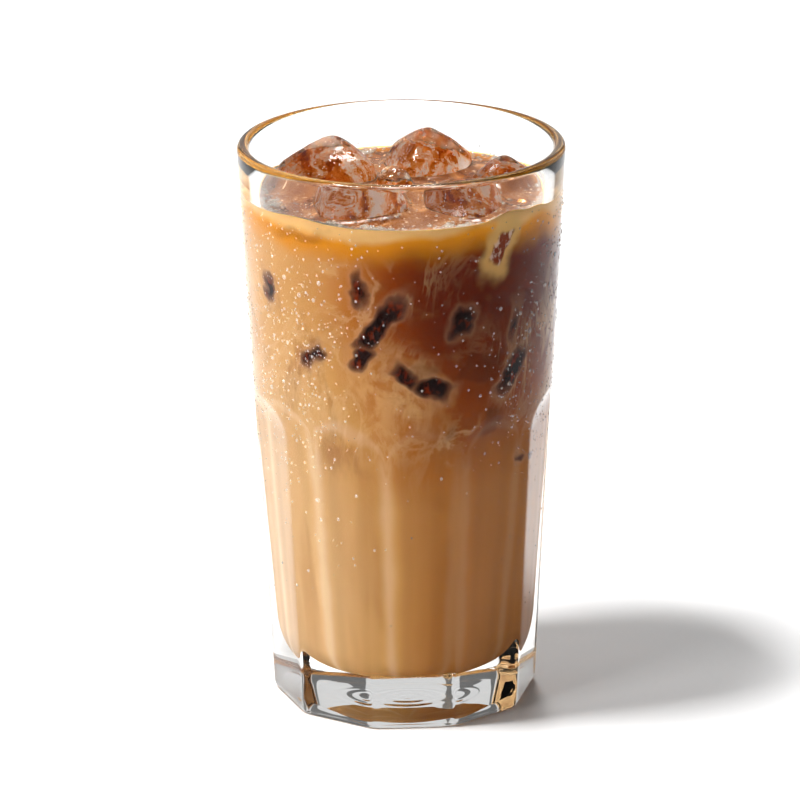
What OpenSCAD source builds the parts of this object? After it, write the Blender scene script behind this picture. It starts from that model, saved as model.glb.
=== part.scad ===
// Iced latte in a tall panelled glass, with ice cubes standing out of the drink.
// Origin: centre of the foot, on the surface that the glass stands on. +Z is up.
// -Y is the side that faces the viewer.

/* [Glass] */
// Diameter over the rim
rim_d = 90; // [80:0.5:110]
// Height of the glass
glass_h = 158.5; // [140:0.5:195]
// Diameter over the ridges at the foot
foot_d = 73.4; // [66:0.2:90]
// Thickness of the wall at the lip
lip_w = 3.4; // [2.4:0.1:5]
// Radius of the cavity at its floor, before the fillet
floor_r = 24.5; // [20:0.5:30]
// Thickness of the solid base
base_t = 11.5; // [6:0.5:16]
// Radius of the fillet between the cavity's wall and its floor
floor_fillet = 9; // [4:0.5:12]
// Chamfer round the foot
foot_chamfer = 1.4; // [0.6:0.1:3]
// Radius of the shallow hollow under the base
punt_r = 24; // [16:0.5:28]
// Depth of the hollow under the base
punt_depth = 1.4; // [0.6:0.1:3]

/* [Panels] */
// Number of flat panels round the lower wall
panel_count = 10; // [8:1:12]
// Angle of the first ridge from +X
panel_turn = 3.5; // [0:0.5:36]
// Width of the ridge left between two panels
ridge_w = 1; // [0.6:0.1:3]
// Height at which the flat of a panel ends and its arched run-out begins
panel_top = 81.5; // [50:0.5:100]
// Radius of the scoop that ends each panel
scoop_r = 21; // [12:1:40]

/* [Drink] */
// Height of the rim above the drink's surface
headspace = 13.6; // [8:0.2:30]

/* [Ice] */
// Edge length of the largest ice cubes
ice_size = 27; // [18:0.5:28]
// How far the edges of a cube have melted back
ice_melt = 2.6; // [1:0.1:3.5]

/* [Hidden] */

curve_fn = 128;
lip_step = 15;
slack = 1;

rim_r = rim_d / 2;
foot_r = foot_d / 2;
lip_r = lip_w / 2;
lip_z = glass_h - lip_r;
cavity_r = rim_r - lip_w;
drink_z = glass_h - headspace;

// Slope of the outer wall and of the cavity's wall, in mm of radius a mm of height
outer_slope = (rim_r - foot_r) / lip_z;
inner_slope = (cavity_r - floor_r) / (lip_z - base_t);
panel_half = 180 / panel_count;

// Radius of the outer cone at a height
function outer_r(z) = foot_r + outer_slope * z;

// Radius of the cavity's cone at a height
function inner_r(z) = floor_r + inner_slope * (z - base_t);

// Angle from a panel's middle to the edge of its ridge
ridge_half = panel_half - asin(ridge_w / 2 / outer_r(panel_top));

// One ice cube: [angle from +X, distance of its centre in from the cavity's wall, depth of its
// centre below the drink's surface], [turn about X, Y and Z], [edges as shares of ice_size]
ICE_BACK_LEFT = [[148.5, 16.2, 4.5], [16, -18, 30], [0.84, 0.80, 0.72]];
ICE_BACK = [[72.5, 17.4, 2.7], [-34, 36, 20], [0.70, 0.72, 0.68]];
ICE_BACK_RIGHT = [[9.5, 12.4, 5.3], [16, 24, -30], [0.52, 0.72, 0.66]];
ICE_FRONT_LEFT = [[240.5, 16.3, 5.7], [-16, 16, 12], [0.88, 0.74, 0.66]];
ICE_FRONT_RIGHT = [[311.5, 14.5, 6.3], [28, -16, -18], [0.74, 0.74, 0.68]];
ICE_SMALL = [[202.5, 37.5, 0.9], [18, 20, 40], [0.34, 0.34, 0.44]];

// Place of an ice cube's centre
function ice_centre(seat) =
    let (z = drink_z - seat[2], r = inner_r(z) - seat[1])
    [r * cos(seat[0]), r * sin(seat[0]), z];

// Cross-section of the cavity up to a height, with its floor fillet
module cavity_section(top_z)
{
    lean = atan(inner_slope);
    fillet_x = inner_r(base_t + floor_fillet) - floor_fillet / cos(lean);
    fillet_z = base_t + floor_fillet;
    polygon([
        [0, base_t],
        [fillet_x, base_t],
        [fillet_x + floor_fillet * cos(lean), fillet_z - floor_fillet * sin(lean)],
        [inner_r(top_z), top_z],
        [0, top_z]
    ]);
    translate([fillet_x, fillet_z])
        intersection() {
            circle(r = floor_fillet, $fn = curve_fn);
            translate([0, -floor_fillet]) square(floor_fillet);
        }
}

// Outer body of the glass before the panels are cut, solid to the middle
module outer_section()
{
    lip_arc = [
        for (a = [0 : lip_step : 180])
            [rim_r - lip_r + lip_r * cos(a), lip_z + lip_r * sin(a)]
    ];
    polygon(concat(
        [[0, 0], [foot_r - foot_chamfer, 0], [outer_r(foot_chamfer), foot_chamfer]],
        lip_arc,
        [[0, lip_z]]
    ));
}

// What one flat panel takes away: a slab outside the flat, ended by a round scoop
module panel_cutter()
{
    lean = atan(outer_slope * cos(ridge_half));
    reach = panel_top / cos(lean) + slack;
    flat_w = 3 * outer_r(panel_top) * sin(panel_half);
    translate([outer_r(panel_top) * cos(ridge_half), 0, panel_top])
        rotate([90, lean, 0])
            linear_extrude(height = flat_w, center = true)
                union() {
                    translate([0, -reach]) square([scoop_r, reach]);
                    translate([scoop_r, 0]) circle(r = scoop_r, $fn = curve_fn);
                }
}

// The shallow hollow under the base, a cap of a sphere
module punt()
{
    ball_r = (punt_r * punt_r + punt_depth * punt_depth) / (2 * punt_depth);
    translate([0, 0, punt_depth - ball_r]) sphere(r = ball_r, $fn = curve_fn);
}

// A rectangle with its four corners cut off at 45 degrees
module cut_rectangle(w, h)
{
    x = w / 2;
    y = h / 2;
    polygon([
        [x, y - ice_melt], [x - ice_melt, y], [ice_melt - x, y], [-x, y - ice_melt],
        [-x, ice_melt - y], [ice_melt - x, -y], [x - ice_melt, -y], [x, ice_melt - y]
    ]);
}

// A block of ice: a cuboid whose twelve edges and eight corners have melted back
module ice_block(place)
{
    size = ice_size * place[2];
    translate(ice_centre(place[0]))
        rotate(place[1])
            intersection() {
                linear_extrude(height = size[2], center = true)
                    cut_rectangle(size[0], size[1]);
                rotate([90, 0, 0])
                    linear_extrude(height = size[1], center = true)
                        cut_rectangle(size[0], size[2]);
                rotate([90, 0, 90])
                    linear_extrude(height = size[0], center = true)
                        cut_rectangle(size[1], size[2]);
            }
}

module glass()
{
    color([0.93, 0.95, 0.95, 0.35])
        difference() {
            rotate_extrude($fn = curve_fn) outer_section();
            rotate_extrude($fn = curve_fn) cavity_section(glass_h + slack);
            for (i = [0 : panel_count - 1])
                rotate(panel_turn + panel_half * (2 * i + 1)) panel_cutter();
            punt();
        }
}

module drink()
{
    color([0.76, 0.55, 0.35])
        difference() {
            rotate_extrude($fn = curve_fn) cavity_section(drink_z);
            for (place = [ICE_BACK_LEFT, ICE_BACK, ICE_BACK_RIGHT,
                    ICE_FRONT_LEFT, ICE_FRONT_RIGHT, ICE_SMALL])
                ice_block(place);
        }
}

module ice(place)
{
    color([0.86, 0.90, 0.92, 0.6]) ice_block(place);
}

glass();
drink();
ice(ICE_BACK_LEFT);  // ice_back_left
ice(ICE_BACK);  // ice_back
ice(ICE_BACK_RIGHT);  // ice_back_right
ice(ICE_FRONT_LEFT);  // ice_front_left
ice(ICE_FRONT_RIGHT);  // ice_front_right
ice(ICE_SMALL);  // ice_small
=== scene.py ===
"""An iced latte in a tall panelled glass: glass, milky coffee, ice, foam and the dew on the wall."""
import math
import random

import bpy
from mathutils import Matrix, Vector, noise
from mathutils.bvhtree import BVHTree


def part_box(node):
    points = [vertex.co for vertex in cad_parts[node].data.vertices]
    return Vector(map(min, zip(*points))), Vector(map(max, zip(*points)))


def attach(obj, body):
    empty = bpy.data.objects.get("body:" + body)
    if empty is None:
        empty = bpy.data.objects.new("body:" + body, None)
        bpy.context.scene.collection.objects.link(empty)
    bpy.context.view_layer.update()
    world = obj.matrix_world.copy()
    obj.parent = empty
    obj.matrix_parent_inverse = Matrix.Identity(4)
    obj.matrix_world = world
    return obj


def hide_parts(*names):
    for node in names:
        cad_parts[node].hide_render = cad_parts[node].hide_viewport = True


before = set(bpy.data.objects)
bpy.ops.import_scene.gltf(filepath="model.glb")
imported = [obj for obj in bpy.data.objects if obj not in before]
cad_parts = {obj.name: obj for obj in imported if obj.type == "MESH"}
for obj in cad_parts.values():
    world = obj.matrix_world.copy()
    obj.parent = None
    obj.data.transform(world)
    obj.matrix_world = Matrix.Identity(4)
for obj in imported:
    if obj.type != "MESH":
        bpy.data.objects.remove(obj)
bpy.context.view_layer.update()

MM = 0.001

# ---------------------------------------------------------------- sizes, in millimetres

GLASS_LOW, GLASS_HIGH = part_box("glass")
DRINK_LOW, DRINK_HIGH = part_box("drink")
GLASS_H = GLASS_HIGH[2] / MM
RIM_R = (GLASS_HIGH[0] - GLASS_LOW[0]) / 2 / MM
FLOOR_Z = DRINK_LOW[2] / MM
LEVEL = DRINK_HIGH[2] / MM

FOOT_R = 36.7
LIP_W = 3.4
LIP_Z = GLASS_H - LIP_W / 2
FLOOR_R = 24.5
FILLET = 9.0
FOOT_CHAMFER = 1.4
PUNT_R = 24.0
PUNT_DEPTH = 1.4
OUTER_SLOPE = (RIM_R - FOOT_R) / LIP_Z
INNER_SLOPE = (RIM_R - LIP_W - FLOOR_R) / (LIP_Z - FLOOR_Z)

PANELS = 10
PANEL_TURN = math.radians(3.5)
PANEL_TOP = 81.5
SCOOP_R = 21.0
RIDGE_W = 1.0
RIDGE_HALF = math.pi / PANELS - math.asin(RIDGE_W / 2 / (FOOT_R + OUTER_SLOPE * PANEL_TOP))

RIPPLE = 0.09            # height of the rings pressed into the hollow under the foot
GATHER = 0.80            # how strongly the columns of points crowd toward the ridges
RIDGE_SOFT = 0.35        # how far a ridge is rounded over where two panels meet
OUTER_SKIN = 3.0         # points this near the outer cone are the outside of the wall

OVERLAP = 0.2            # how far the drink reaches into the wall, so that no air shows
SHRINK = 0.25            # how far inside the ice's skin the drink is cut


def outer_r(z):
    """Radius of the outer cone at height z."""
    return FOOT_R + OUTER_SLOPE * z


def inner_r(z):
    """Radius of the cavity's cone at height z."""
    return FLOOR_R + INNER_SLOPE * (z - FLOOR_Z)


def fillet_centre():
    """(radius, height) of the centre of the fillet between the cavity's wall and its floor."""
    height = FLOOR_Z + FILLET
    return inner_r(height) - FILLET / math.cos(math.atan(INNER_SLOPE)), height


def soft_min(a, b, blend):
    """The smaller of two lengths, rounded over where they are nearly equal."""
    h = max(blend - abs(a - b), 0.0) / blend
    return min(a, b) - h * h * blend / 4


def smooth(low, high, x):
    """0 below low, 1 above high, and an S-curve between."""
    t = min(max((x - low) / (high - low), 0.0), 1.0)
    return t * t * (3 - 2 * t)


# ---------------------------------------------------------------- modelling helpers

def clear_selection():
    bpy.ops.object.select_all(action="DESELECT")


def select_only(obj):
    clear_selection()
    obj.select_set(True)
    bpy.context.view_layer.objects.active = obj


def edit(obj):
    """Goes into edit mode on this object alone, with nothing selected in it."""
    select_only(obj)
    bpy.ops.object.mode_set(mode="EDIT")
    bpy.ops.mesh.select_mode(type="VERT")
    bpy.ops.mesh.select_all(action="DESELECT")


def leave_edit():
    bpy.ops.object.mode_set(mode="OBJECT")


def edit_where(obj, test):
    """Goes into edit mode with the points selected whose place passes the test."""
    edit(obj)
    leave_edit()
    for v in obj.data.vertices:
        if test(v.co):
            v.select = True
    bpy.ops.object.mode_set(mode="EDIT")


def apply_modifier(obj, kind, **settings):
    """Adds one modifier, sets it and applies it."""
    select_only(obj)
    modifier = obj.modifiers.new(kind.lower(), kind)
    for key, value in settings.items():
        setattr(modifier, key, value)
    bpy.ops.object.modifier_apply(modifier=modifier.name)


def surface_tree(obj):
    """The faces of a finished piece, for finding its nearest point or where a ray meets it."""
    return BVHTree.FromPolygons([v.co for v in obj.data.vertices],
                                [p.vertices for p in obj.data.polygons])


def lathe(name, profile, segments):
    """Turns a profile of (radius, height) in mm, from pole to pole, by extruding a circle ring by ring."""
    clear_selection()
    r0, z0 = profile[0]
    bpy.ops.mesh.primitive_circle_add(vertices=segments, radius=r0 * MM, fill_type="TRIFAN",
                                      location=(0, 0, z0 * MM))
    obj = bpy.context.object
    obj.name = name
    bpy.ops.object.transform_apply(location=True)
    edit_where(obj, lambda place: place.xy.length > r0 * MM / 2)
    last = r0
    height = z0
    for r, z in profile[1:]:
        bpy.ops.mesh.extrude_edges_move(TRANSFORM_OT_translate={"value": (0, 0, (z - height) * MM)})
        if abs(r - last) > 1e-9:
            bpy.ops.transform.resize(value=(r / last, r / last, 1), center_override=(0, 0, z * MM))
        last = r
        height = z
    bpy.ops.mesh.merge(type="CENTER")
    bpy.ops.mesh.select_all(action="SELECT")
    bpy.ops.mesh.normals_make_consistent(inside=False)
    leave_edit()
    bpy.ops.object.shade_smooth()
    return obj


# ---------------------------------------------------------------- the glass

def glass_profile():
    """(radius, height) from the middle of the foot, up the outside, over the lip and down the cavity."""
    ball_r = (PUNT_R ** 2 + PUNT_DEPTH ** 2) / (2 * PUNT_DEPTH)
    points = []
    rings = 36
    for i in range(rings + 1):
        r = 0.4 + (PUNT_R - 0.4) * i / rings
        ripple = RIPPLE * math.sin(r * 1.5) * smooth(0, 8, 15 - r)
        points.append((r, PUNT_DEPTH - ball_r + math.sqrt(ball_r ** 2 - r ** 2) + ripple))
    points += [(28.0, 0.0), (32.5, 0.0), (FOOT_R - FOOT_CHAMFER, 0.0)]
    for i in range(1, 5):
        a = math.pi / 8 * i
        points.append((FOOT_R - FOOT_CHAMFER * (1 - math.sin(a)), FOOT_CHAMFER * (1 - math.cos(a))))
    heights = [FOOT_CHAMFER + 1.2, 6, 12, 20, 30, 40, 50, 60, 68, 74, 78]
    heights += [80 + 0.6 * i for i in range(20)]
    heights += [93, 96, 100, 106, 112, 118, 124, 130, 136, 142, 147, 151, 154]
    points += [(outer_r(z), z) for z in heights]
    for i in range(13):
        a = math.pi * i / 12
        points.append((RIM_R - LIP_W / 2 + LIP_W / 2 * math.cos(a), LIP_Z + LIP_W / 2 * math.sin(a)))
    cx, fillet_z = fillet_centre()
    steps = 22
    for i in range(1, steps + 1):
        z = LIP_Z + (fillet_z - LIP_Z) * i / steps
        points.append((inner_r(z), z))
    lean = math.atan(INNER_SLOPE)
    for i in range(1, 11):
        a = -lean + (-math.pi / 2 + lean) * i / 10
        points.append((cx + FILLET * math.cos(a), fillet_z + FILLET * math.sin(a)))
    points += [(cx * k, FLOOR_Z) for k in (0.8, 0.6, 0.4, 0.2, 0.03)]
    return points


def panel_distance(z):
    """Distance from the axis to the face of a panel at height z, with its scooped run-out at the top."""
    flat = (FOOT_R + OUTER_SLOPE * z) * math.cos(RIDGE_HALF)
    over = z - PANEL_TOP
    if over <= 0:
        return flat
    if over >= SCOOP_R:
        return flat + SCOOP_R
    return flat + SCOOP_R - math.sqrt(SCOOP_R ** 2 - over ** 2)


def press_panels(obj):
    """Presses the ten flat panels into the turned blank and gathers its columns at the ridges."""
    pitch = 2 * math.pi / PANELS
    for v in obj.data.vertices:
        r = v.co.xy.length / MM
        z = v.co.z / MM
        if r < 1:
            continue
        angle = math.atan2(v.co.y, v.co.x) - PANEL_TURN
        angle -= GATHER * math.sin(PANELS * angle) / PANELS
        outside = r > outer_r(z) - OUTER_SKIN and z < LIP_Z - 1
        if outside and z < 2:
            outside = r > PUNT_R + 6
        if outside:
            off = (angle % pitch) - pitch / 2
            flat = panel_distance(z)
            if z < FOOT_CHAMFER:
                flat -= (FOOT_CHAMFER - z) * 0.55
            r = soft_min(r, flat / math.cos(off), RIDGE_SOFT)
        v.co.x = r * MM * math.cos(angle + PANEL_TURN)
        v.co.y = r * MM * math.sin(angle + PANEL_TURN)
    obj.data.update()


def make_glass():
    glass = lathe("tumbler", glass_profile(), 200)
    press_panels(glass)
    return glass


# ---------------------------------------------------------------- the ice

ICE_LIFT = 1.6           # how far the lumps stand above the sharp blocks they are made from
BLOCK_SHARE = 0.68       # share of a lump's shape that stays the block's
BALL_SHARE = 0.36        # share that comes from a ball round its middle
BALL_SIZE = 1.06         # radius of that ball, against the block's mean reach
ICE_GAP = 0.5            # least gap between the ice and the wall
ICE_NODES = [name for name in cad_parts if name.startswith("ice_")]


def swell(obj):
    """Bulges a block's faces toward a ball, and lifts it a little, clear of the wall."""
    middle = sum((v.co for v in obj.data.vertices), Vector()) / len(obj.data.vertices)
    reach = sum((v.co - middle).length for v in obj.data.vertices) / len(obj.data.vertices)
    for v in obj.data.vertices:
        out = v.co - middle
        v.co = middle + out.normalized() * (out.length * BLOCK_SHARE + reach * BALL_SIZE * BALL_SHARE)
        v.co.z += ICE_LIFT * MM
        room = (inner_r(v.co.z / MM) - ICE_GAP) * MM
        if v.co.xy.length > room:
            v.co.x, v.co.y = v.co.xy.normalized() * room
    obj.data.update()


def melt(obj, seed, dent):
    """Rounds a chamfered block into a wet lump of ice, with dents of a depth in mm."""
    edit(obj)
    bpy.ops.mesh.select_all(action="SELECT")
    bpy.ops.mesh.remove_doubles(threshold=0.00002)
    bpy.ops.mesh.dissolve_limited(angle_limit=math.radians(2))
    leave_edit()
    apply_modifier(obj, "REMESH", mode="VOXEL", voxel_size=0.0007)
    apply_modifier(obj, "SMOOTH", factor=0.6, iterations=14)
    swell(obj)
    middle = sum((v.co for v in obj.data.vertices), Vector()) / len(obj.data.vertices)
    normals = [v.normal.copy() for v in obj.data.vertices]
    for v, normal in zip(obj.data.vertices, normals):
        place = (v.co - middle) / 0.0095 + Vector((seed * 7.3, seed * 1.7, -seed * 3.1))
        big = noise.noise(place)
        small = noise.noise(place * 2.6)
        v.co -= normal * dent * MM * (0.55 + 0.75 * big + 0.22 * small)
    obj.data.update()
    select_only(obj)
    bpy.ops.object.shade_smooth()


def make_ice():
    """A swollen, melted lump of ice, made from each block that stands out of the drink."""
    pieces = []
    for seed, node in enumerate(ICE_NODES):
        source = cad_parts[node]
        clear_selection()
        block = source.copy()
        block.data = source.data.copy()
        bpy.context.collection.objects.link(block)
        block.name = node.replace("ice_", "cube_")
        block.parent = None
        block.matrix_world = Matrix.Identity(4)
        block.data.materials.clear()
        melt(block, seed + 1, 0.8 if node != "ice_small" else 0.4)
        pieces.append(block)
    return pieces


# ---------------------------------------------------------------- the drink

def drink_profile():
    """(radius, height) from the middle of the bottom, up the wall and over the surface to the axis."""
    cx, fillet_z = fillet_centre()
    lean = math.atan(INNER_SLOPE)
    low = FLOOR_Z - OVERLAP
    round_r = FILLET + OVERLAP
    points = [(cx * k, low) for k in (0.03, 0.3, 0.6, 1.0)]
    for i in range(1, 11):
        a = -math.pi / 2 + (math.pi / 2 - lean) * i / 10
        points.append((cx + round_r * math.cos(a), fillet_z + round_r * math.sin(a)))
    steps = 40
    for i in range(1, steps + 1):
        z = fillet_z + (LEVEL - fillet_z) * i / steps
        points.append((inner_r(z) + OVERLAP, z))
    edge = inner_r(LEVEL) + OVERLAP
    rings = 74
    for i in range(1, rings):
        points.append((edge * (1 - i / rings), LEVEL))
    return points


# Where the drink rides higher up the wall: [angle from +X, rise in mm, spread in degrees]
CLIMBS = [(-132, 1.1, 13), (-46, 2.2, 9), (-31, 1.2, 6), (20, 0.9, 14), (95, 0.5, 30), (165, 0.8, 20)]


def wall_climb(angle):
    """How far the drink's edge stands up the wall at an angle, in mm."""
    rise = 0.55
    for middle, high, spread in CLIMBS:
        off = (math.degrees(angle) - middle + 180) % 360 - 180
        rise += high * math.exp(-(off / spread) ** 2)
    return rise


def shape_surface(drink, cubes):
    """Lifts the surface where it wets the wall and the ice, and gives it slow swells."""
    trees = [surface_tree(cube) for cube in cubes]
    edge = inner_r(LEVEL) + OVERLAP
    for v in drink.data.vertices:
        if v.co.z < (LEVEL - 0.01) * MM:
            continue
        r = v.co.xy.length / MM
        angle = math.atan2(v.co.y, v.co.x)
        rise = wall_climb(angle) * math.exp(-((edge - r) / 1.3) ** 1.3)
        near = min(tree.find_nearest(v.co)[3] for tree in trees) / MM
        rise += 0.9 * math.exp(-(near / 1.1) ** 1.2) * smooth(0.0, 3.0, edge - r)
        place = v.co / 0.009
        rise += 0.22 * noise.noise(place) * smooth(0, 4, edge - r)
        v.co.z += rise * MM
        if r > edge - 0.3:
            grow = (inner_r(v.co.z / MM) + OVERLAP) / r
            v.co.x *= grow
            v.co.y *= grow
    drink.data.update()


def cut_round(drink, cubes):
    """Cuts the drink round every cube, a little inside its skin, so that no gap shows between them."""
    for cube in cubes:
        core = cube.copy()
        core.data = cube.data.copy()
        bpy.context.collection.objects.link(core)
        apply_modifier(core, "DISPLACE", strength=-SHRINK * MM, mid_level=0.0)
        apply_modifier(drink, "BOOLEAN", operation="DIFFERENCE", object=core, solver="EXACT")
        bpy.data.objects.remove(core)


def make_drink(cubes):
    drink = lathe("coffee", drink_profile(), 240)
    shape_surface(drink, cubes)
    cut_round(drink, cubes)
    select_only(drink)
    bpy.ops.object.shade_smooth()
    return drink


# ---------------------------------------------------------------- materials

def linear(r, g, b):
    """A colour given as 0 to 255 screen values, as the renderer's linear light."""
    out = []
    for c in (r, g, b):
        c /= 255
        out.append(c / 12.92 if c <= 0.04045 else ((c + 0.055) / 1.055) ** 2.4)
    return (*out, 1.0)


class Nodes:
    """A short way to write a tree of nodes."""

    def __init__(self, tree):
        self.tree = tree

    def put(self, socket, value):
        if isinstance(value, bpy.types.NodeSocket):
            self.tree.links.new(value, socket)
        else:
            socket.default_value = value

    def node(self, kind, inputs=(), out=0, **settings):
        made = self.tree.nodes.new("ShaderNode" + kind)
        for key, value in settings.items():
            setattr(made, key, value)
        for key, value in dict(inputs).items():
            self.put(made.inputs[key], value)
        return made.outputs[out]

    def math(self, operation, a, b=0.0, c=0.0):
        return self.node("Math", {0: a, 1: b, 2: c}, operation=operation)

    def vector(self, operation, a, b=(0, 0, 0)):
        return self.node("VectorMath", {0: a, 1: b}, operation=operation)

    def band(self, value, low, high, to_low=0.0, to_high=1.0):
        return self.node("MapRange", {"Value": value, "From Min": low, "From Max": high,
                                      "To Min": to_low, "To Max": to_high},
                         interpolation_type="SMOOTHSTEP")

    def axes(self, vector):
        """The X, Y and Z of a vector."""
        outputs = self.node("SeparateXYZ", {0: vector}).node.outputs
        return outputs["X"], outputs["Y"], outputs["Z"]

    def length_2d(self, x, y):
        squares = self.math("ADD", self.math("MULTIPLY", x, x), self.math("MULTIPLY", y, y))
        return self.math("SQRT", squares)

    def mix(self, fac, a, b, blend="MIX"):
        made = self.tree.nodes.new("ShaderNodeMix")
        made.data_type = "RGBA"
        made.blend_type = blend
        self.put(made.inputs[0], fac)
        self.put(made.inputs[6], a)
        self.put(made.inputs[7], b)
        return made.outputs[2]

    def ramp(self, value, stops):
        made = self.tree.nodes.new("ShaderNodeValToRGB")
        self.put(made.inputs["Fac"], value)
        marks = made.color_ramp.elements
        while len(marks) < len(stops):
            marks.new(0.5)
        for mark, (at, colour) in zip(marks, stops):
            mark.position = at
            mark.color = colour
        return made.outputs["Color"]


class Recipe(Nodes):
    """A material and the nodes that make it, on Object coordinates."""

    def __init__(self, name):
        self.material = bpy.data.materials.new(name)
        self.material.use_nodes = True
        super().__init__(self.material.node_tree)
        self.shader = self.tree.nodes["Principled BSDF"]
        self.place = self.tree.nodes.new("ShaderNodeTexCoord").outputs["Object"]

    def noise(self, scale, detail=3.0, stretch=(1, 1, 1), offset=(0, 0, 0), rough=0.5, warp=0.0,
              where=None, colour=False):
        where = where or self.place
        where = self.node("Mapping", {"Vector": where, "Scale": stretch, "Location": offset})
        return self.node("TexNoise", {"Vector": where, "Scale": scale, "Detail": detail,
                                      "Roughness": rough, "Distortion": warp},
                         out=1 if colour else 0)

    def bump(self, height, strength, distance):
        self.put(self.shader.inputs["Normal"],
                 self.node("Bump", {"Height": height, "Strength": strength, "Distance": distance * MM}))

    def set(self, **values):
        for key, value in values.items():
            self.put(self.shader.inputs[key.replace("_", " ")], value)


def glass_material():
    look = Recipe("tumbler_glass")
    look.set(Base_Color=(0.925, 0.93, 0.925, 1), Roughness=0.0, IOR=1.5, Transmission_Weight=1.0,
             Specular_Tint=(0.3, 0.3, 0.3, 1))
    look.bump(look.noise(45, 2.0), 0.15, 0.4)
    return look.material


def ice_material():
    look = Recipe("wet_ice")
    look.set(Base_Color=(0.97, 0.975, 0.97, 1), Roughness=0.0, IOR=1.31, Transmission_Weight=1.0)
    look.bump(look.noise(300, 4.0), 0.5, 0.5)
    return look.material


# Sunk ice that leans on the wall shows as a pane of painted shade in the drink, the shaded drink seen
# through the clear ice:
# [angle, height], [half its length, half its width], lean from upright in degrees
SHADED_ICE_PANES = [
    [(-99, 118), (8.5, 3), 28],       # the large pane
    [(-107, 108), (3, 2.5), 35],      # its foot, under a wisp of milk
    [(-88, 103), (4.5, 2), -50],      # the long bar
    [(-77, 99), (4.5, 2.5), -70],     # its dark end
    [(-66, 118), (4, 3), 8],
    [(-107, 128), (4, 1.5), -25],
    [(-39, 101), (6, 2.5), 30],
    [(-40, 114), (3.5, 1), 0],
    [(-153, 123), (3.5, 1.5), -20],
    [(-132, 106), (2.5, 2), 20],
    [(-127, 108), (2, 1.5), 40],
    [(-25, 74), (1, 0.5), -60],
    [(62, 118), (7, 3.5), 25],        # from here on, at the back
    [(112, 104), (6, 3), -40],
    [(28, 126), (3.5, 3), 10],
    [(152, 112), (5, 2), 30],
    [(84, 92), (3, 2.5), -20],
]
# Ice that lies deeper, under a film of milk, shows as a greyer, duller patch of painted shade
VEILED_PANES = [
    [(-132, 141), (7, 1.5), 85],
    [(-50, 87), (3.5, 2.5), 10],
    [(-69, 86), (1.5, 1), 0],
    [(-96, 122), (4.5, 2.5), 25],
    [(-130, 107), (4.5, 3), 40],
    [(-83, 104), (3, 3.5), -55],
    [(-57, 104), (4, 6), 10],
    [(20, 108), (5, 4), 30],
    [(130, 124), (5, 5), 10],
]
# The cube that shows through the wall just under the surface, painted as lit ice with painted glints,
# inside a pale halo
LIT_PANE = [[(-50, 138), (5, 2.5), 15]]

# The drink's own colours, from sunken milk to the strong coffee on top, as 0 to 255 screen values
MILKY = (240, 205, 160)
LATTE = (230, 178, 110)
CARAMEL = (205, 132, 60)
TOFFEE = (160, 75, 10)
STRONG = (120, 38, 0)
AMBER = (240, 160, 30)   # light shines through the thin layer just under the foam
FOAM = (250, 200, 130)

# Where each colour lies between weak and strong: [strength, colour]
STRENGTHS = [(0.0, MILKY), (0.3, LATTE), (0.52, CARAMEL), (0.78, TOFFEE), (1.0, STRONG)]

# The light comes from the left, so its bands fall a little beside the ridges
GLOW_SHIFT = 0.10


def pane_distance(look, wall, panes):
    """Distance in mm on the wall from the edge of the nearest pane, less than 0 inside one."""
    nearest = None
    for (angle, height), (half_long, half_wide), lean in panes:
        across = math.radians(angle) * inner_r(height)
        local = look.node("Mapping", {"Vector": wall, "Location": (across, height, 0),
                                      "Rotation": (0, 0, -math.radians(lean)),
                                      "Scale": (half_wide, half_long, 1)}, vector_type="TEXTURE")
        square = look.vector("MULTIPLY", local, local)
        fourth = look.vector("MULTIPLY", square, square)
        total = look.node("VectorMath", {0: fourth, 1: (1, 1, 0)}, out=1, operation="DOT_PRODUCT")
        reach = look.math("POWER", total, 0.25)
        size = min(half_long, half_wide) * 1.2
        gap = look.math("MULTIPLY_ADD", reach, size, -size)
        nearest = gap if nearest is None else look.math("MINIMUM", nearest, gap)
    return nearest


def layered_colour(look, x, height_mm):
    """Milk at the bottom, strong coffee at the top, darker on the right as painted shade away from the
    light and as stronger coffee there, a painted amber glow and foam at the surface.
    """
    # painted shade: the drink darkens toward the right, away from the light on the left, besides the
    # stronger coffee there
    right_shade_and_coffee = look.band(x, -30 * MM, 16 * MM)
    climb = look.band(height_mm, 60, 128)
    low = look.math("MULTIPLY_ADD", right_shade_and_coffee, 0.38, 0.10)
    gain = look.math("MULTIPLY_ADD", right_shade_and_coffee, 0.36, 0.20)
    strength = look.math("MULTIPLY_ADD", climb, gain, low)
    colour = look.ramp(strength, [(at, linear(*shade)) for at, shade in STRENGTHS])
    # painted light: an amber glow where light shines through the thin layer under the foam
    colour = look.mix(look.band(height_mm, LEVEL - 13, LEVEL - 4), colour, linear(*AMBER))
    return look.mix(look.band(height_mm, LEVEL - 4.5, LEVEL - 1), colour, linear(*FOAM))


def add_clouds(look, colour, mixing):
    """Clouds of milk that sink, and coffee that streams between them."""
    cloud = look.noise(24, 5.0, stretch=(1, 1, 0.55), warp=1.4, rough=0.6)
    pale = look.math("MULTIPLY", look.band(cloud, 0.52, 0.68), mixing)
    colour = look.mix(look.math("MULTIPLY", pale, 0.40), colour, linear(236, 182, 112))
    dark = look.math("MULTIPLY", look.band(cloud, 0.46, 0.34), mixing)
    return look.mix(look.math("MULTIPLY", dark, 0.42), colour, linear(140, 60, 6))


def add_wisps(look, colour, mixing):
    """Fine wisps, as milk makes when it is stirred once."""
    wisp = look.noise(34, 6.0, stretch=(1, 1, 0.55), warp=2.6, rough=0.60, offset=(0.3, 0.1, 0.7))
    thread = look.math("ABSOLUTE", look.math("SUBTRACT", wisp, 0.5))
    patchy = look.band(look.noise(26, 2.0, offset=(0.9, 0.2, 0.4)), 0.42, 0.62)
    thread = look.math("MULTIPLY", look.math("MULTIPLY", look.band(thread, 0.06, 0.0), mixing), patchy)
    return look.mix(look.math("MULTIPLY", thread, 0.5), colour, linear(244, 204, 150))


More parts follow.
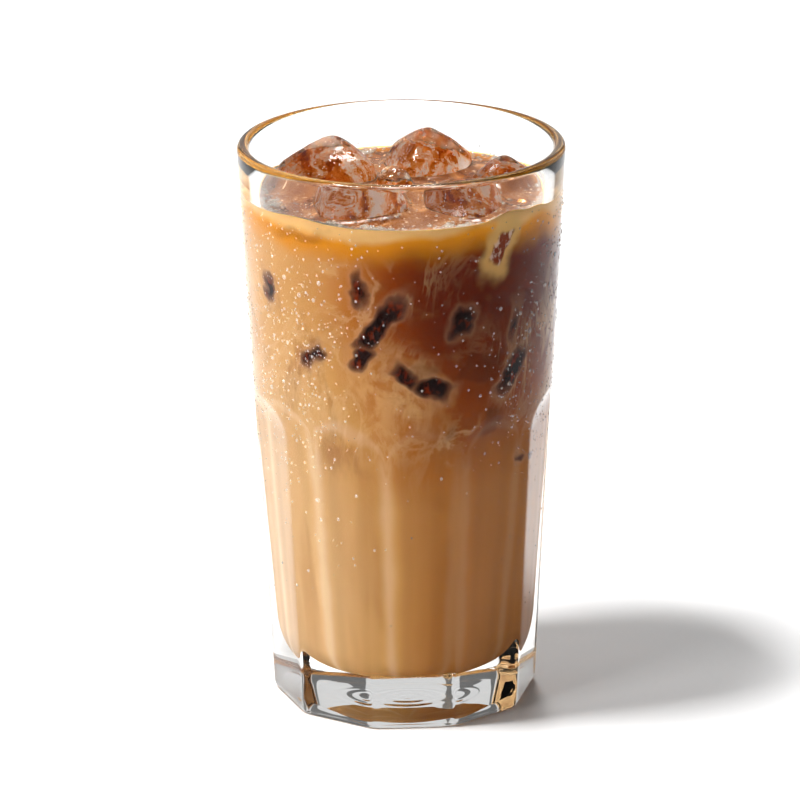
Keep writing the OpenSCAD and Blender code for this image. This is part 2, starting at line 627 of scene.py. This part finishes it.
def add_milk_pool(look, colour, x, height_mm):
    """A pool of curling milk in the middle, where the panels begin."""
    across = look.math("MULTIPLY", look.band(x, -20 * MM, -6 * MM), look.band(x, 14 * MM, 2 * MM))
    along = look.math("MULTIPLY", look.band(height_mm, 84, 94), look.band(height_mm, 108, 98))
    curl = look.noise(62, 6.0, warp=3.0, rough=0.6, offset=(0.1, 0.7, 0.2))
    pool = look.math("MULTIPLY", look.math("MULTIPLY", across, along), look.band(curl, 0.40, 0.60))
    return look.mix(look.math("MULTIPLY", pool, 0.55), colour, linear(246, 200, 140))


def add_streaks(look, colour, height_mm):
    """Faint upright streaks in the milky part."""
    streak = look.noise(70, 3.0, stretch=(1, 1, 0.05), warp=0.4)
    streak = look.math("MULTIPLY", look.band(streak, 0.44, 0.30), look.band(height_mm, 92, 60))
    return look.mix(look.math("MULTIPLY", streak, 0.30), colour, linear(176, 112, 58))


def add_ridge_light(look, colour, turn, side, height_mm):
    """The bright bands that the glass's ridges gather, and the arches that the panels' tops do."""
    from_ridge = look.math("PINGPONG", look.math("ADD", turn, 2 * math.pi - PANEL_TURN - GLOW_SHIFT),
                           math.pi / PANELS)
    rise = look.math("SUBTRACT", look.math("COSINE", look.math("SUBTRACT", math.pi / PANELS, from_ridge)),
                     math.cos(RIDGE_HALF))
    arch = look.math("MULTIPLY_ADD", look.math("SQRT", look.math("MAXIMUM", rise, 0.0)),
                     math.sqrt(2 * SCOOP_R * outer_r(PANEL_TOP)), PANEL_TOP - 1.5)
    under = look.math("SUBTRACT", arch, height_mm)
    waver = look.math("MULTIPLY_ADD", look.noise(60, 2.0), 0.10, -0.05)
    away = look.math("ABSOLUTE", look.math("ADD", from_ridge, waver))
    band = look.math("MULTIPLY", look.band(away, 0.10, 0.0), look.band(under, -1.0, 5.0))
    lip = look.math("MULTIPLY", look.band(under, -1.6, 0.2), look.band(under, 3.4, 0.6))
    glow = look.math("MAXIMUM", band, look.math("MULTIPLY", lip, 0.55))
    facing = look.band(side, 12 * MM, -26 * MM, 0.14, 0.72)
    colour = look.mix(look.math("MULTIPLY", glow, facing), colour, linear(255, 226, 186))
    shade = look.math("MULTIPLY", look.band(away, 0.26, 0.17), look.band(away, 0.08, 0.15))
    shade = look.math("MULTIPLY", shade, look.band(under, 0.0, 6.0))
    return look.mix(look.math("MULTIPLY", shade, 0.10), colour, linear(150, 92, 48))


def add_sunk_ice(look, colour, wall):
    """The panes of ice that lean on the wall, painted as the shaded drink seen through them: veiled, dark
    or painted lit with painted glints, each with a paler rim of milk.
    """
    ragged = look.vector("SUBTRACT", look.noise(150, 2.0, colour=True), (0.5, 0.5, 0.5))
    wall = look.vector("ADD", wall, look.vector("MULTIPLY", ragged, (6.0, 6.0, 0)))
    # painted shade, dimmed by the film of milk over the ice
    veiled = pane_distance(look, wall, VEILED_PANES)
    colour = look.mix(look.band(veiled, 1.2, -0.9, 0.0, 0.55), colour,
                      look.mix(0.55, colour, linear(122, 84, 62), "MULTIPLY"))
    # painted shade: the dark panes where the shaded drink shows through sunk ice, with a darker painted
    # edge inside a paler rim of milk
    deep = pane_distance(look, wall, SHADED_ICE_PANES)
    colour = look.mix(look.band(deep, 2.6, 0.2, 0.0, 0.34), colour, linear(212, 168, 128))
    grain = look.noise(650, 4.0, stretch=(1, 1, 0.6))
    brown = look.mix(look.band(grain, 0.50, 0.72), linear(36, 4, 1), linear(140, 46, 6))
    colour = look.mix(look.band(deep, 1.0, 0.0, 0.0, 0.7), colour, linear(104, 56, 44))
    colour = look.mix(look.band(deep, 0.4, -1.3), colour, brown)
    # painted light: the lit cube under the surface, with painted glints in it
    lit = pane_distance(look, wall, LIT_PANE)
    colour = look.mix(look.band(lit, 4.2, 0.6), colour, linear(240, 196, 122))
    painted_glints = look.mix(look.band(grain, 0.47, 0.60), linear(150, 66, 30), linear(236, 208, 186))
    return look.mix(look.band(lit, 0.3, -0.8), colour, painted_glints)


def add_ice_pockets(look, colour, ring, height_mm):
    """Where the drink meets the floating ice it shows through it, painted light and full of small cracks,
    with white painted highlights.
    """
    wall_r = look.math("MULTIPLY_ADD", height_mm, INNER_SLOPE, FLOOR_R - INNER_SLOPE * FLOOR_Z)
    inward = look.math("SUBTRACT", wall_r, look.math("DIVIDE", ring, MM))
    above = look.band(height_mm, FLOOR_Z + 20, FLOOR_Z + 30)
    pocket = look.math("MULTIPLY", look.band(inward, 0.4, 1.2), above)
    # partly real cracks, partly painted light: white painted highlights and a lit look for the dimly lit
    # pocket
    cracks_and_glints = look.noise(210, 6.0, rough=0.68, warp=1.0)
    inside = look.ramp(cracks_and_glints, [(0.36, linear(120, 50, 8)), (0.44, linear(200, 114, 36)),
                               (0.50, linear(230, 164, 88)), (0.54, linear(252, 232, 206)),
                               (0.59, linear(255, 254, 252))])
    return look.mix(pocket, colour, inside)


def coffee_material():
    """The body of the drink: its layers, darker on the right partly as painted shade, then what drifts in
    it, then painted light, and ice with painted shade and light, at the wall.
    """
    look = Recipe("milky_coffee")
    swirl = look.vector("SUBTRACT", look.noise(30, 3.0, colour=True), (0.5, 0.5, 0.5))
    drift = look.vector("MULTIPLY", swirl, (12 * MM, 12 * MM, 22 * MM))
    x, _, z = look.axes(look.vector("ADD", look.place, drift))
    height_mm = look.math("DIVIDE", z, MM)
    mixing = look.math("MULTIPLY", look.band(height_mm, 66, 88), look.band(height_mm, 142, 126))
    colour = layered_colour(look, x, height_mm)
    colour = add_clouds(look, colour, mixing)
    colour = add_wisps(look, colour, mixing)
    colour = add_milk_pool(look, colour, x, height_mm)
    colour = add_streaks(look, colour, height_mm)

    side, front, up = look.axes(look.place)
    turn = look.math("ARCTAN2", front, side)
    ring = look.length_2d(side, front)
    colour = add_ridge_light(look, colour, turn, side, height_mm)
    wall = look.node("CombineXYZ", {0: look.math("DIVIDE", look.math("MULTIPLY", turn, ring), MM),
                                    1: look.math("DIVIDE", up, MM)})
    colour = add_sunk_ice(look, colour, wall)
    colour = add_ice_pockets(look, colour, ring, height_mm)
    look.set(Base_Color=colour, Roughness=0.5, Specular_IOR_Level=0.0)
    return look.material


def surface_material():
    """The top of the drink: wet, pinkish brown, paler where the foam has left a film."""
    look = Recipe("coffee_surface")
    slow = look.noise(70, 5.0, warp=1.6, rough=0.6)
    colour = look.ramp(slow, [(0.36, linear(88, 44, 10)), (0.48, linear(112, 64, 24)),
                              (0.60, linear(130, 82, 42)), (0.70, linear(168, 118, 74))])
    side, front, _ = look.axes(look.place)
    ring = look.length_2d(side, front)
    edge = look.band(ring, (inner_r(LEVEL) - 3.4) * MM, (inner_r(LEVEL) - 0.6) * MM)
    colour = look.mix(look.math("MULTIPLY", edge, 0.7), colour, linear(178, 112, 38))
    fine = look.noise(900, 3.0)
    colour = look.mix(look.band(fine, 0.62, 0.70, 0.0, 0.5), colour, linear(240, 208, 170))
    look.set(Base_Color=colour, Roughness=0.16, IOR=1.34)
    look.bump(look.noise(160, 3.0), 0.25, 0.35)
    return look.material


# ---------------------------------------------------------------- foam and dew

def dome(name):
    """Half a ball of radius 1 on a flat base, the model for bubbles and droplets."""
    clear_selection()
    bpy.ops.mesh.primitive_uv_sphere_add(segments=8, ring_count=6, radius=1, location=(0, 0, 0))
    model = bpy.context.object
    model.name = name
    edit_where(model, lambda place: place.z < -0.01)
    bpy.ops.mesh.delete(type="VERT")
    bpy.ops.mesh.select_non_manifold()
    bpy.ops.mesh.edge_face_add()
    bpy.ops.mesh.select_all(action="SELECT")
    bpy.ops.mesh.normals_make_consistent(inside=False)
    leave_edit()
    bpy.ops.object.shade_smooth_by_angle(angle=math.radians(50))
    return model


def join_copies(name, model, places):
    """One mesh that holds a copy of the model at every place, each given as a matrix."""
    points, faces = [], []
    for place in places:
        start = len(points)
        points += [place @ v.co for v in model.data.vertices]
        faces += [[start + i for i in p.vertices] for p in model.data.polygons]
    mesh = bpy.data.meshes.new(name)
    mesh.from_pydata(points, [], faces)
    mesh.update()
    piece = bpy.data.objects.new(name, mesh)
    bpy.context.collection.objects.link(piece)
    select_only(piece)
    bpy.ops.object.shade_smooth_by_angle(angle=math.radians(50))
    return piece


def seat(spot, normal, size, flat, stretch=1.0):
    """The matrix that sets a dome of a size in mm on a surface, stretched downhill and flattened."""
    side = Vector((0, 0, 1)).cross(normal)
    side = side.normalized() if side.length > 0.01 else Vector((1, 0, 0))
    down = normal.cross(side)
    basis = Matrix((side * size, down * size * stretch, normal * size * flat)).transposed() * MM
    place = basis.to_4x4()
    place.translation = spot - normal * size * flat * 0.06 * MM
    return place


def dew_share(angle, z):
    """How densely the wall is covered with dew, 0 to 1, at an angle in degrees and a height."""
    share = smooth(62, 96, z) * smooth(149, 140, z) + 0.10 * smooth(20, 60, z) * smooth(149, 140, z)
    around = math.radians(angle)
    patch = noise.noise(Vector((math.cos(around) * 2.4, math.sin(around) * 2.4, z / 22)))
    front = 1 - 0.88 * math.exp(-((angle + 80) / 32) ** 4)
    return share * front * (0.62 + 0.75 * patch)


DROPS = 4000             # drops of dew on the wall, the large ones among them

# Single large drops on the wall: [angle, height, radius in mm]
LARGE_DROPS = [(-137, 129, 0.8), (-121, 129.5, 0.65), (-130, 125, 0.7), (-148, 116, 0.6),
               (-52, 121, 0.6), (-36, 112, 0.75), (-35, 106, 0.55), (-60, 97, 0.5),
               (20, 120, 0.8), (84, 111, 0.7), (133, 126, 0.75), (170, 104, 0.65),
               (-109, 69, 0.5), (-118, 61, 0.45), (-75, 74, 0.45)]


def make_dew(model, glass):
    """Fine dew over the cold part of the wall, with some larger drops among it."""
    dice = random.Random(5)
    tree = surface_tree(glass)
    places = []
    wanted = list(LARGE_DROPS)
    while len(wanted) < DROPS:
        angle = dice.uniform(-180, 180)
        z = dice.uniform(18, 148)
        if dice.random() > dew_share(angle, z):
            continue
        size = 0.17 + 0.24 * dice.random() ** 2.5
        if dice.random() < 0.03:
            size += dice.uniform(0.15, 0.5)
        wanted.append((angle, z, size))
    for angle, z, size in wanted:
        out = Vector((math.cos(math.radians(angle)), math.sin(math.radians(angle)), 0))
        start = out * 0.08 + Vector((0, 0, z * MM))
        spot, normal, _, _ = tree.ray_cast(start, -out)
        places.append(seat(spot, normal, size, 0.55, dice.uniform(0.9, 1.25)))
    return join_copies("dew", model, places)


MIDDLE_PATCH = 44        # distance in from the wall of the one patch that lies out in the drink

# Bubbles lie thick in these patches: [angle, distance in from the wall, spread in mm]
FOAM_PATCHES = [(-99, 1.6, 3.0), (-118, 1.4, 2.6), (-90, MIDDLE_PATCH, 3.2),
                (-70, 2.0, 2.6), (-160, 2.2, 2.4), (40, 2.2, 3.2), (110, 2.4, 3.4), (150, 2.0, 2.4)]


def make_foam(model, coffee, cubes):
    """Bubbles along the wall all round, round the ice and in a few patches."""
    dice = random.Random(11)
    tree = surface_tree(coffee)
    ice = [surface_tree(cube) for cube in cubes]
    edge = inner_r(LEVEL)
    wanted = []
    for _ in range(1000):
        size = 0.18 + 0.55 * dice.random() ** 2.5
        wanted.append((dice.uniform(0, 360), size + abs(dice.gauss(0, 0.7)), size))
    for angle, inward, spread in FOAM_PATCHES:
        for _ in range(70):
            size = 0.2 + 0.8 * dice.random() ** 2.2
            wanted.append((angle + math.degrees(dice.gauss(0, spread) / edge),
                           max(inward + dice.gauss(0, spread * 0.5), size), size))
    for _ in range(900):
        angle = dice.uniform(0, 360)
        inward = edge * (1 - math.sqrt(dice.random()))
        wanted.append((angle, inward, 0.16 + 0.5 * dice.random() ** 3))
    places = []
    for angle, inward, size in wanted:
        r = edge - inward
        x, y = r * math.cos(math.radians(angle)), r * math.sin(math.radians(angle))
        spot, normal, _, _ = tree.ray_cast(Vector((x * MM, y * MM, 0.2)), Vector((0, 0, -1)))
        if spot is None or spot.z < (LEVEL - 0.8) * MM:
            continue
        near = min(t.find_nearest(spot)[3] for t in ice) / MM
        in_patch = abs(inward - MIDDLE_PATCH) <= 8
        if near < size * 0.8 or (inward > 6 and near > 2.0 and not in_patch):
            continue
        places.append(seat(spot, normal, size, 0.8))
    return join_copies("foam", model, places)


def make_ice_bubbles(model, cubes):
    """The small bubbles of air inside the ice."""
    dice = random.Random(3)
    places = []
    for cube in cubes:
        tree = surface_tree(cube)
        corners = [v.co for v in cube.data.vertices]
        low = Vector([min(c[i] for c in corners) for i in range(3)])
        high = Vector([max(c[i] for c in corners) for i in range(3)])
        low.z = max(low.z, (LEVEL - 5) * MM)
        room = (high - low).length / MM
        for _ in range(int(room * 7)):
            size = 0.10 + 0.20 * dice.random() ** 2
            spot = Vector([dice.uniform(low[i], high[i]) for i in range(3)])
            tilt = Vector([dice.gauss(0, 1) for _ in range(3)]).normalized()
            skin, normal, _, gap = tree.find_nearest(spot)
            if (spot - skin).dot(normal) < 0 and gap > size * 1.15 * MM:
                places.append(seat(spot, tilt, size, 0.9))
    return join_copies("ice_bubbles", model, places)


def bubble_material():
    look = Recipe("trapped_air")
    look.set(Base_Color=(1, 1, 1, 1), Roughness=0.3, IOR=1.15, Transmission_Weight=0.6)
    return look.material


def water_material(name, tint, ior, clear):
    look = Recipe(name)
    look.set(Base_Color=tint, Roughness=0.05, IOR=ior, Transmission_Weight=clear)
    return look.material


def finish_piece(piece, materials, slot, *nodes):
    piece.data.materials.clear()
    for material in materials:
        piece.data.materials.append(material)
    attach(piece, "root")
    if nodes:
        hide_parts(*nodes)


def paint_surface(coffee):
    """Gives the top of the drink its own, wet look."""
    edge = (inner_r(LEVEL) - 0.3) * MM
    for face in coffee.data.polygons:
        if face.center.z > (LEVEL - 0.15) * MM and face.center.xy.length < edge and face.normal.z > 0.2:
            face.material_index = 1


glass = make_glass()
finish_piece(glass, [glass_material()], "glass", "glass")
cubes = make_ice()
ice_look = ice_material()
for cube, node in zip(cubes, ICE_NODES):
    finish_piece(cube, [ice_look], "ice", node)
coffee = make_drink(cubes)
finish_piece(coffee, [coffee_material(), surface_material()], "drink", "drink")
paint_surface(coffee)
bead = dome("bead")
finish_piece(make_dew(bead, glass), [water_material("dew_water", (1, 1, 1, 1), 1.33, 0.8)], "glass")
foam_skin = water_material("foam_skin", (1.0, 0.90, 0.76, 1), 1.33, 0.75)
finish_piece(make_foam(bead, coffee, cubes), [foam_skin], "drink")
finish_piece(make_ice_bubbles(bead, cubes), [bubble_material()], "ice")
bpy.data.objects.remove(bead)


# ---------------------------------------------------------------- floor, light and camera

def add_floor():
    clear_selection()
    bpy.ops.mesh.primitive_plane_add(size=12, location=(0, 0, -0.00005))
    floor = bpy.context.object
    floor.name = "floor"
    look = Recipe("pale_floor")
    look.set(Base_Color=(0.68, 0.68, 0.68, 1), Roughness=0.6, Specular_IOR_Level=0.2)
    floor.data.materials.append(look.material)


def add_light(name, place, target, size, power, spread=180):
    light = bpy.data.lights.new(name, "AREA")
    light.shape = "RECTANGLE"
    light.size, light.size_y = size
    light.energy = power
    light.spread = math.radians(spread)
    obj = bpy.data.objects.new(name, light)
    bpy.context.collection.objects.link(obj)
    obj.location = place
    obj.rotation_euler = (Vector(target) - Vector(place)).to_track_quat("-Z", "Y").to_euler()


def add_world():
    """A studio that is bright behind the glass, dark in front, with a dark strip on each side."""
    world = bpy.data.worlds.new("studio")
    bpy.context.scene.world = world
    world.use_nodes = True
    look = Nodes(world.node_tree)
    where = look.node("TexCoord", out="Generated")
    behind = look.node("VectorMath", {0: where, 1: (-0.1, 0.95, 0.1)}, out="Value",
                       operation="DOT_PRODUCT")
    level = look.band(behind, 0.05, 0.8, 0.10, 0.6)
    side, _, _ = look.axes(where)
    flag = look.math("COMPARE", look.math("ABSOLUTE", side), 0.40, 0.07)
    lit = look.math("MULTIPLY_ADD", flag, -0.75, 1.0)
    background = world.node_tree.nodes["Background"]
    look.put(background.inputs["Color"], (1, 1, 1, 1))
    look.put(background.inputs["Strength"], look.math("MULTIPLY", level, lit))


def add_camera():
    """A long lens that looks down on the glass a little, aimed at a point near its middle."""
    distance = 1.5239
    rise = 0.3258    # radians above level
    turn = -0.0075   # radians about the line of sight
    centre = Vector((0, 0, 0.075))
    place = centre + distance * Vector((0, -math.cos(rise), math.sin(rise)))
    aim = Vector((-0.00085, 0.0027, 0.0831))
    ahead = (aim - place).normalized()
    right = ahead.cross(Vector((0, 0, 1))).normalized()
    up = right.cross(ahead)
    across = math.cos(turn) * right + math.sin(turn) * up
    top = -math.sin(turn) * right + math.cos(turn) * up
    camera = bpy.data.cameras.new("camera")
    camera.sensor_width = 36
    camera.lens = 246.7
    camera.clip_end = 50
    obj = bpy.data.objects.new("camera", camera)
    bpy.context.collection.objects.link(obj)
    basis = Matrix((across, top, -ahead)).transposed().to_4x4()
    basis.translation = place
    obj.matrix_world = basis
    bpy.context.scene.camera = obj


add_floor()
add_world()
add_light("key_left", (-0.65, -0.15, 1.6), (-0.05, 0.15, 0.05), (0.35, 0.35), 16, spread=110)
add_light("card_left", (-0.85, -0.70, 0.45), (0, 0, 0.08), (0.3, 0.4), 5.2)
add_light("overhead", (0.05, 0.80, 1.5), (0, 0.85, 0), (0.3, 0.3), 6.8, spread=130)
add_camera()
bpy.context.scene.view_settings.view_transform = "Standard"
bpy.context.scene.view_settings.look = "Medium High Contrast"
